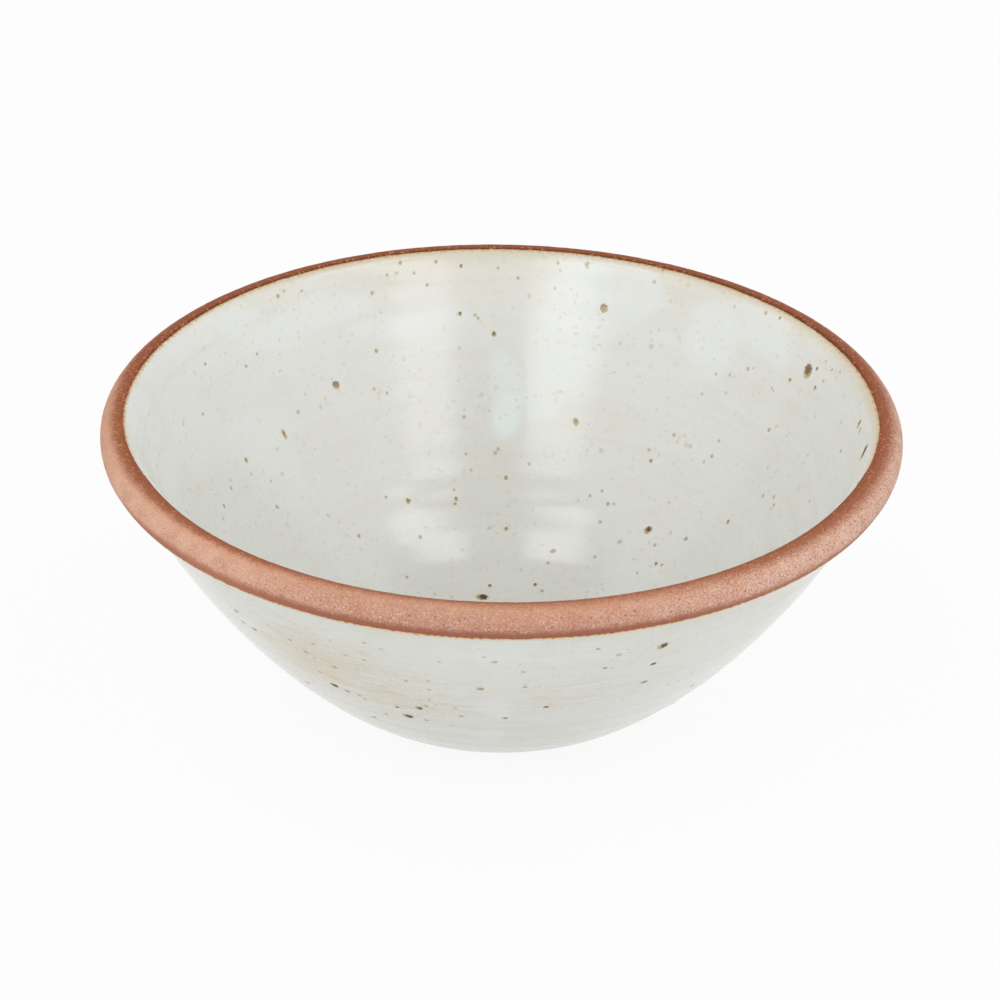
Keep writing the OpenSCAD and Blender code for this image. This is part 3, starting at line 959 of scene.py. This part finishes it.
# %% The glaze
def glaze(material, body, thick, thin, ochre, ring_strength, thin_strength, fringe, inside):
    sheet = shader_sheet(material)
    place = place_in_mm(sheet)
    x, y, _ = sheet.parts(place)
    around = (x * x + y * y + 0.01) ** 0.5
    run, gap, pool = kept(sheet, "run") / mm, kept(sheet, "gap") / mm, kept(sheet, "pool")
    wheel_x, wheel_y = x / around, y / around
    clouds = sheet.noise(place, 0.05, 3.0, 0.55)
    rings = sheet.noise(sheet.vector(wheel_x * 1.6, wheel_y * 1.6, run * 0.34), 1.0, 3.0, 0.65)
    lines = sheet.noise(sheet.vector(x * 0.13, y * 0.13, run * 0.85), 1.0, 3.0, 0.65)
    mottle = sheet.noise(place, 0.9, 4.0, 0.75)
    grit = sheet.noise(place, 3.2, 3.0, 0.8)
    pepper = sheet.noise(place, 1.5, 3.0, 0.8)
    tone = (rings - 0.5) * ring_strength + (lines - 0.5) * 0.5 * ring_strength + (clouds - 0.5) * 0.9
    colour = sheet.mix((tone * 1.4 + (mottle - 0.5) * 1.6 + 0.42).rise(0.0, 1.0), thick, body)
    # Thin glaze breaks into streaks along the throwing lines and into fine tan grains
    broken = (lines - 0.5) * 0.8 * ring_strength + (pepper - 0.5) * 1.8 + tone * 0.4 - 0.2
    thinness = ((-pool).most(0.0) * thin_strength + broken).rise(0.0, 1.0)
    colour = sheet.mix(thinness, colour, thin)
    pool_share = (pool + (mottle - 0.5) * 0.3).rise(0.05, 1.0) * 0.82
    colour = sheet.mix(pool_share, colour, paint(222, 225, 222))
    # The thickest run ends in a bluish tongue
    colour = sheet.mix(pool.rise(0.95, 1.25) * 0.9, colour, paint(225, 232, 229))
    # Towards its edge the coat thins to cream with ochre grains, then to a ragged fringe. Inside,
    # this goes on along the far edge and fades out on the near side
    bare_side, right_side, left_side, far_side = 1.0, 0.0, 0.0, 0.0
    if inside:
        bare_side, far_side = wheel_y.rise(-0.6, 0.1), wheel_y.rise(0.55, 0.95)
        right_side, left_side = wheel_x.rise(0.5, 0.95), wheel_x.rise(-0.4, -0.9)
    creamy_to = 5.0 + right_side * 2.0 + far_side * 12.0
    creamy = 1.0 - (gap + (clouds - 0.5) * 9.0 + (mottle - 0.5) * 3.0).rise(0.0, creamy_to)
    creamy = creamy * (0.32 + right_side * 0.12 - left_side * 0.2) * (1.0 - pool.most(0.0) * 0.7)
    colour = sheet.mix(creamy * bare_side, colour, paint(210, 200, 176))
    grains_to = 2.4 + right_side * 0.8 + far_side * 0.8
    grains = 1.0 - (gap + (grit - 0.5) * 7.0 + (mottle - 0.5) * 4.0 + left_side * 0.6).rise(0.0, grains_to)
    colour = sheet.mix(grains * (0.55 + right_side * 0.1) * bare_side, colour, paint(204, 182, 140))
    ragged = gap + (sheet.noise(place, 0.9, 3.0, 0.7) - 0.5) * 1.8 + (grit - 0.5) * 1.2
    colour = sheet.mix((1.0 - ragged.rise(fringe * 0.4, fringe)) * bare_side, colour, ochre)
    colour = sheet.mix(1.0 - ragged.rise(-0.1, 0.35), colour, paint(146, 92, 58))
    # Specks come in clusters: faint olive ones, and fewer that are darker
    cluster = 0.4 + sheet.noise(place, 0.09, 2.0).rise(0.4, 0.62) * 0.6
    bend = sheet.node("ShaderNodeTexNoise", None, {"Vector": place, "Scale": 1.4, "Detail": 2.0})["Color"]
    bent = place + (bend - 0.5) * 1.6
    dust = specks(sheet, bent + 57.0, 1.5, 0.62, 1.05) * cluster
    fine = specks(sheet, bent, 2.3, 0.5, 0.95) * cluster
    coarse = specks(sheet, bent + 31.0, 4.2, 0.5, 1.1)
    colour = sheet.mix(dust * 0.6, colour, paint(203, 196, 168))
    colour = sheet.mix(fine * 0.65, colour, paint(190, 178, 136))
    colour = sheet.mix(coarse * 0.6, colour, paint(158, 136, 82))
    dry = 1.0 - gap.rise(1.0, 8.0)
    ripple = sheet.noise(place, 0.4, 2.0) * 0.04 + grit * 0.004 - coarse * 0.02
    roughness = 0.17 + (mottle - 0.5) * 0.06 + coarse * 0.03 + dry * 0.06
    show(sheet, {"Base Color": colour, "Roughness": roughness, "IOR": 1.6,
                 "Normal": bumped(sheet, ripple, 0.6)})


glaze(inner_finish, body=paint(216, 215, 207), thick=paint(219, 220, 215), thin=paint(213, 204, 186),
      ochre=paint(202, 168, 116), ring_strength=0.9, thin_strength=0.6, fringe=0.9, inside=True)
glaze(outer_finish, body=paint(210, 209, 199), thick=paint(214, 215, 209), thin=paint(200, 189, 163),
      ochre=paint(220, 188, 130), ring_strength=1.4, thin_strength=1.0, fringe=1.3, inside=False)
print("glaze nodes:", len(inner_finish.node_tree.nodes), len(outer_finish.node_tree.nodes))

# %% [markdown]
# ## The spots' iron
# A spot darkens from a golden stain at its edge to a brown heart, which lies a little off its
# middle. Noise bends the rings so that no spot is round, and the stain fades out through Alpha
# into the glaze that lies under it. How dark a spot is also says how much of a heart it has.

# %% Iron finish
iron = shader_sheet(spot_finish)
iron_place = place_in_mm(iron)
reach, dark, burst = (kept(iron, name) for name in ("reach", "dark", "burst"))
rough_edge = (iron.noise(iron_place + kept(iron, "chance"), 1.7, 3.0, 0.7) - 0.5) * 1.1
torn, heart = reach + rough_edge, kept(iron, "heart") + rough_edge
core = 1.0 - (heart - dark.rise(0.55, 0.95) * 0.3).rise(0.1, 0.6)
stain = iron.mix(dark.rise(0.35, 0.6), paint(206, 188, 142), paint(208, 182, 112))
core_colour = iron.mix(dark.rise(0.35, 0.75), paint(168, 136, 72), paint(84, 56, 30))
core_colour = iron.mix(burst * 0.5, core_colour, paint(176, 126, 86))
iron_colour = iron.mix(core * dark.rise(0.1, 0.5), stain, core_colour)
# A burst spot has a grey middle
middle = iron.mix(dark.rise(0.76, 0.95), paint(186, 170, 168), paint(108, 92, 82))
iron_colour = iron.mix((1.0 - torn.rise(0.25, 0.5)) * burst * 0.9, iron_colour, middle)
cover = (1.0 - torn.rise(0.45, 0.95)) * (1.0 - reach.rise(0.8, 1.0)) * (0.1 + 0.9 * dark)
pitted = iron.noise(iron_place, 2.5, 3.0) * 0.05
show(iron, {"Base Color": iron_colour, "Roughness": 0.3 + core * 0.25, "Alpha": cover,
            "Normal": bumped(iron, pitted, 0.5)})
print("iron nodes:", len(spot_finish.node_tree.nodes))

# %% [markdown]
# ## The bare clay
# Fired stoneware is matt and sandy. The rim's pale colour is painted darker in front and paler on the
# right: painted light and shade. Next to each glaze line it is darker: a toasted band over the crest of
# the rim, which is also painted shade on its inward slope, and a darker red-brown band at the bottom
# of the roll. The distance along the section, stored by the sweep, says how far a point is from those
# lines.

# %% Sandy ground
clay_sheet = shader_sheet(bare_clay)
clay_place = place_in_mm(clay_sheet)
clay_x, clay_y, _ = clay_sheet.parts(clay_place)
along_clay = kept(clay_sheet, "run") / mm
sand = clay_sheet.noise(clay_place, 2.2, 4.0, 0.8)
patches = clay_sheet.noise(clay_place, 0.16, 3.0, 0.6)
wander = (clay_sheet.noise(clay_place, 0.4, 3.0, 0.6) - 0.5) * 1.6 + (sand - 0.5) * 2.4
near_side, front, far = clay_y.rise(20.0, -95.0), clay_y.rise(-70.0, -98.0), clay_y.rise(0.0, 45.0)
left, right = clay_x.rise(-20.0, -80.0), clay_x.rise(10.0, 80.0)
ground = paint(178, 122, 98)
# Painted light and shade: the pale clay is darker in front and paler on the right, as the light fell on the
# rim
pale = clay_sheet.mix(near_side, paint(222, 180, 160), paint(205, 162, 142))
pale = clay_sheet.mix(right, pale, paint(226, 192, 174))
pale = clay_sheet.mix(left, pale, paint(222, 178, 156))
grain = (sand - 0.5) * (3.4 - left * 1.8)
paleness = (patches * 0.6 + grain + 0.2 + right * 0.1 + left * 0.12).rise(0.1, 0.9)
clay_colour = clay_sheet.mix(paleness, ground, pale)
clay_colour = clay_sheet.mix(left * clay_y.rise(-40.0, 0.0) * 0.35, clay_colour, ground)

# %% Toasted bands and painted shade along the glaze lines
roll_mm = roll_length / mm
on_roll = along_clay.rise(roll_mm + 5.0, roll_mm + 4.0)
# A darker red-brown band along the bottom of the roll, next to the outer glaze line, wider in front and on
# the low left
low_left = left * clay_y.rise(-30.0, -60.0)
under_width = 1.0 + front * 0.5 + low_left * 1.2
low_roll_band = (1.0 - (roll_mm - along_clay + wander).rise(under_width, under_width + 2.3)) * on_roll
under_colour = clay_sheet.mix(front, paint(174, 112, 88), paint(158, 96, 76))
clay_colour = clay_sheet.mix(low_roll_band * 0.95, clay_colour, under_colour)
near_left = clay_y.rise(-30.0, -70.0) * clay_x.rise(40.0, -20.0)
crest_width = 3.3 - near_left * 0.8 + right * 0.7 + far * (1.6 - clay_x * 0.008)
crest = (along_clay + wander) / crest_width
warm = 1.0 - crest.rise(0.9, 2.2)
clay_colour = clay_sheet.mix(warm * (0.45 - right * 0.35), clay_colour, paint(208, 156, 124))
# Toasted clay over the crest, which is also painted shade on the rim's inward slope
crest_toast_and_shade = 1.0 - crest.rise(0.35, 1.35)
toast = clay_sheet.mix(near_side, paint(142, 74, 47), paint(156, 90, 60))
sandy_toast = ((sand - 0.5) * 4.0 + 0.3).rise(0.0, 1.0) * (0.6 - far * 0.4)
toast = clay_sheet.mix(sandy_toast, toast, paint(184, 122, 82))
clay_colour = clay_sheet.mix(crest_toast_and_shade * (0.97 - front * 0.4), clay_colour, toast)
# A dark line along the inner glaze edge: toasted clay and painted shade of the inner lip, darkest on the
# far side
lip_toast_and_shade = 1.0 - (along_clay + wander * 0.4 - front * 0.6).rise(-0.1, 1.1)
lip_colour = clay_sheet.mix(far, paint(138, 72, 44), paint(98, 50, 30))
lip_share = lip_toast_and_shade * (0.7 - near_side * 0.2 + far * 0.2) * on_roll
clay_colour = clay_sheet.mix(lip_share, clay_colour, lip_colour)

# %% Flecks of sand, painted glints, and pits with painted shade
plain = 1.0 - low_roll_band * 0.8
calm = plain * (1.0 - crest_toast_and_shade * 0.75)
low_half = along_clay.rise(3.5, 7.5)
pits = specks(clay_sheet, clay_place + 7.0, 1.0, 0.5, 0.56)
orange_flecks = specks(clay_sheet, clay_place, 0.8, 0.8, 0.62) * plain * (0.65 - low_half * 0.3)
# Pale sand flecks, more in the lower half, where they also stand in for glints: painted highlights
pale_flecks_and_glints = specks(clay_sheet, clay_place + 43.0, 0.8, 0.6, 0.48) * calm
pale_flecks_and_glints = pale_flecks_and_glints * (0.3 + low_half * 0.4) * (1.0 - left * 0.5)
grey_flecks = specks(clay_sheet, clay_place + 17.0, 1.0, 0.4, 0.56) * calm * 0.5
# The pits are painted darker than the clay: painted shade in the dents
pit_shade = pits * (0.45 + low_half * 0.3) * (1.0 - left * 0.7)
for share, fleck_colour in ((orange_flecks, paint(220, 154, 96)), (pale_flecks_and_glints, paint(230, 202, 188)),
                            (grey_flecks, paint(166, 148, 152)), (pit_shade, paint(128, 74, 52))):
    clay_colour = clay_sheet.mix(share, clay_colour, fleck_colour)
clay_height = sand * (0.2 - left * 0.08) + clay_sheet.noise(clay_place, 1.1, 2.0) * 0.08 - pits * 0.06
show(clay_sheet, {"Base Color": clay_colour, "Roughness": 0.7 + sand * 0.2, "Specular IOR Level": 0.2,
                  "Normal": bumped(clay_sheet, clay_height, 0.8)})
print("clay nodes:", len(bare_clay.node_tree.nodes))

# %% [markdown]
# ## Floor and light
# The bowl stands on a plain white floor in a white room. Two tall soft boxes stand in front, left
# and right, and lean over it: they are what the far inner wall mirrors as two pale columns. Two
# shorter ones hang overhead. The rest of the room is the world: its walls and its dim ceiling
# light the bowl, and the glaze mirrors it with a darker ceiling and back and with a dark strip
# where the camera stands. The room is at its full white only where it is looked at, and the
# floor where it is looked at or mirrored, so that the colours of the bowl come out about as
# they were mixed.

# %% Soft boxes
def soft_box(name, across, rise, width, length, glow):
    """A soft box that faces the bowl, with its long way leaning back over it; rise is in degrees."""
    gap, tilt = 1.2, math.radians(rise)
    forward = math.sqrt(1 - across * across)
    towards = Vector((across, -forward * math.cos(tilt), forward * math.sin(tilt)))
    long_way = Vector((0, math.sin(tilt), math.cos(tilt)))
    lamp = bpy.data.lights.new(name, "AREA")
    lamp.shape, lamp.size, lamp.size_y = "RECTANGLE", width, length
    lamp.energy = glow * width * length * math.pi
    turned = Matrix((long_way.cross(towards), long_way, towards)).transposed().to_4x4()
    placed(name, lamp).matrix_world = Matrix.Translation(rim_middle + gap * towards) @ turned


soft_box("box_left", across=-0.315, rise=42, width=0.42, length=1.0, glow=1.45)
soft_box("box_right", across=0.42, rise=42, width=0.37, length=1.0, glow=1.45)
soft_box("top_left", across=-0.33, rise=84, width=0.44, length=0.38, glow=2.8)
soft_box("top_right", across=0.4, rise=85, width=0.5, length=0.34, glow=2.8)

# %% Floor
half = 2.0
floor_corners = [(-half, -half, 0), (half, -half, 0), (half, half, 0), (-half, half, 0)]
floor = placed("floor", mesh_of("floor", floor_corners, [(0, 1, 2, 3)]))
floor_paint = bpy.data.materials.new("floor_paint")
floor_sheet = shader_sheet(floor_paint)
floor_matt = floor_sheet.node("ShaderNodeBsdfDiffuse", None, {"Color": (0.82, 0.82, 0.82, 1)})[0]
floor_white = floor_sheet.node("ShaderNodeEmission", None, {"Color": (1, 1, 1, 1), "Strength": 1.0})[0]
floor_ray = floor_sheet.node("ShaderNodeLightPath")
floor_seen = floor_ray["Is Camera Ray"].most(floor_ray["Is Glossy Ray"])
floor_seen = floor_seen.most(floor_ray["Is Transmission Ray"]) * 0.92
floor_surface = floor_sheet.node("ShaderNodeMixShader", None, {
    0: floor_seen, 1: floor_matt, 2: floor_white})[0]
floor_sheet.node("ShaderNodeOutputMaterial", None, {"Surface": floor_surface})
floor.data.materials.append(floor_paint)

# %% Room
room = bpy.data.worlds.new("room")
bpy.context.scene.world = room
room_sheet = shader_sheet(room)
ray = room_sheet.node("ShaderNodeLightPath")
looked_at = ray["Is Camera Ray"].most(ray["Is Transmission Ray"])
room_x, room_y, room_z = room_sheet.parts(room_sheet.node("ShaderNodeTexCoord")["Generated"])
# What lights the bowl: bright walls, a dim ceiling
walls_and_ceiling = (1.39 - room_z.most(0.0) - room_x * 0.02).most(0.1)
# What the glaze mirrors: white walls, a dark ceiling, a dim back, and the strip where the camera stands
camera_strip = room_x.rise(-0.17, -0.1) * room_x.rise(0.3, 0.22)
camera_strip = camera_strip * room_y.rise(0.1, -0.1) * room_z.rise(0.3, 0.75)
dim_back = room_y.rise(0.2, 0.7) * 0.55
mirrored = (1.15 - room_z.rise(0.74, 0.9) * 1.05) * (1.0 - camera_strip * 0.95) * (1.0 - dim_back)
glossy = ray["Is Glossy Ray"]
glow = walls_and_ceiling * (1.0 - glossy) + mirrored * glossy
backdrop = room_sheet.node("ShaderNodeBackground", None, {
    "Color": (1, 1, 1, 1), "Strength": glow.most(looked_at)})[0]
room_sheet.node("ShaderNodeOutputWorld", None, {"Surface": backdrop})
bpy.context.scene.view_settings.view_transform = "Standard"
print("lights:", len(bpy.data.lights))

# %% [markdown]
# ## Hand the pieces to the frame
# Each skin stands for its CAD piece, and everything rides on the bowl's one body.

# %% Join the frame
for piece, node in ((clay, "clay_body"), (inner, "inner_glaze"), (outer, "outer_glaze")):
    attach(piece, "root")
    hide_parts(node)
for piece, name in ((inner_iron, "inner_glaze"), (outer_iron, "outer_glaze")):
    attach(piece, "root")
